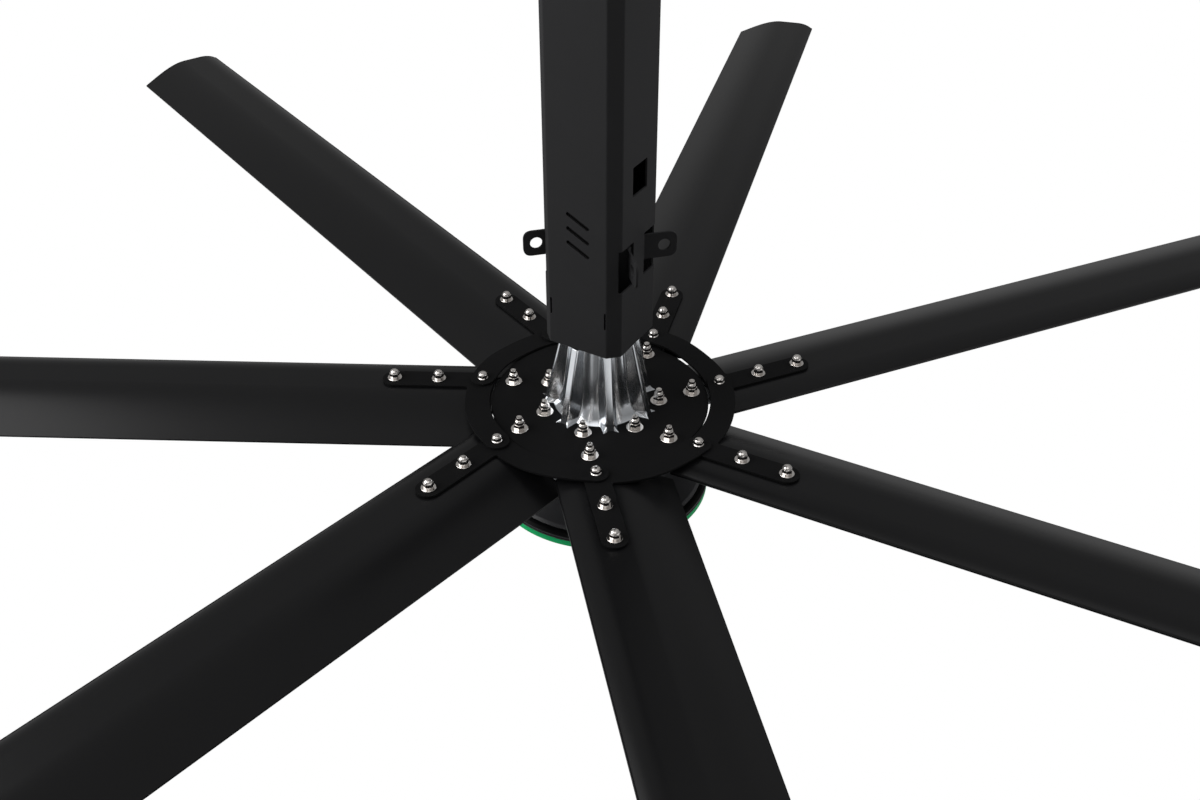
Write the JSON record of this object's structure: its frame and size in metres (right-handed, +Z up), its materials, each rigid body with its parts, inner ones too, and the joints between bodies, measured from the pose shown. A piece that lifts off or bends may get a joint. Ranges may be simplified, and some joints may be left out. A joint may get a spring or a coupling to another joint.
{
  "type": "high volume low speed fan",
  "caption": "Wide slow ceiling fan: long hollow blades on a ribbed direct-drive hub under a square column with guy-wire ears, green trim ring",
  "frame": {"origin": "middle of the ceiling plate's upper face, on the axis of rotation", "axes": "+Z up towards the ceiling along the rotor axis; -Y is the column face with the louvres seen at the front left of the picture, +X the side face with the wiring hole"},
  "size_m": [2.9657, 3.0159, 0.9579],
  "materials": {
    "black_coat": "satin black powder coat",
    "blade_black": "black anodised extrusion, satin",
    "bright_alloy": "machined and polished cast aluminium",
    "steel": "plain machined steel",
    "zinc": "bright zinc plating",
    "copper": "varnished copper wire",
    "black_plastic": "moulded black, fine texture",
    "green_trim": "green satin band",
    "cable_rubber": "matt black sheath"
  },
  "bodies": {
    "hanger": {"ceiling_plate": "black_coat", "mount_cheek_right": "black_coat", "mount_cheek_left": "black_coat", "foot_bolt_right_front": "zinc", "foot_bolt_right_rear": "zinc", "foot_bolt_left_front": "zinc", "foot_bolt_left_rear": "zinc", "column_tube": "black_coat", "cross_bolt_upper": "zinc", "cross_bolt_lower": "zinc", "guy_bracket_right": "black_coat", "guy_bracket_left": "black_coat", "column_end_plate": "steel", "motor_shaft": "steel", "stator_core": "steel", "stator_winding": "copper", "upper_bearing_inner": "steel", "lower_bearing_inner": "steel", "shaft_nut": "steel", "drive_unit": "bright_alloy", "motor_cable": "cable_rubber"},
    "rotor": {"hub_casting": "bright_alloy", "hub_disc": "black_coat", "blade_1": "blade_black", "blade_strut_1": "steel", "retaining_link_1": "black_coat", "blade_tip_cap_1": "black_plastic", "blade_2": "blade_black", "blade_strut_2": "steel", "retaining_link_2": "black_coat", "blade_tip_cap_2": "black_plastic", "blade_3": "blade_black", "blade_strut_3": "steel", "retaining_link_3": "black_coat", "blade_tip_cap_3": "black_plastic", "blade_4": "blade_black", "blade_strut_4": "steel", "retaining_link_4": "black_coat", "blade_tip_cap_4": "black_plastic", "blade_5": "blade_black", "blade_strut_5": "steel", "retaining_link_5": "black_coat", "blade_tip_cap_5": "black_plastic", "blade_6": "blade_black", "blade_strut_6": "steel", "retaining_link_6": "black_coat", "blade_tip_cap_6": "black_plastic", "blade_7": "blade_black", "blade_strut_7": "steel", "retaining_link_7": "black_coat", "blade_tip_cap_7": "black_plastic", "rotor_can": "bright_alloy", "upper_bearing_outer": "steel", "lower_bearing_outer": "steel", "bearing_cap": "black_coat", "lower_dish": "black_plastic", "trim_spacer": "bright_alloy", "green_trim_ring": "green_trim", "bottom_cover": "black_plastic"}
  },
  "joints": [
    {"name": "rotor_spin", "type": "hinge", "parent": "hanger", "child": "rotor", "pos_m": [0, 0, -0.8], "axis": [0, 0, 1], "continuous": true}
  ]
}
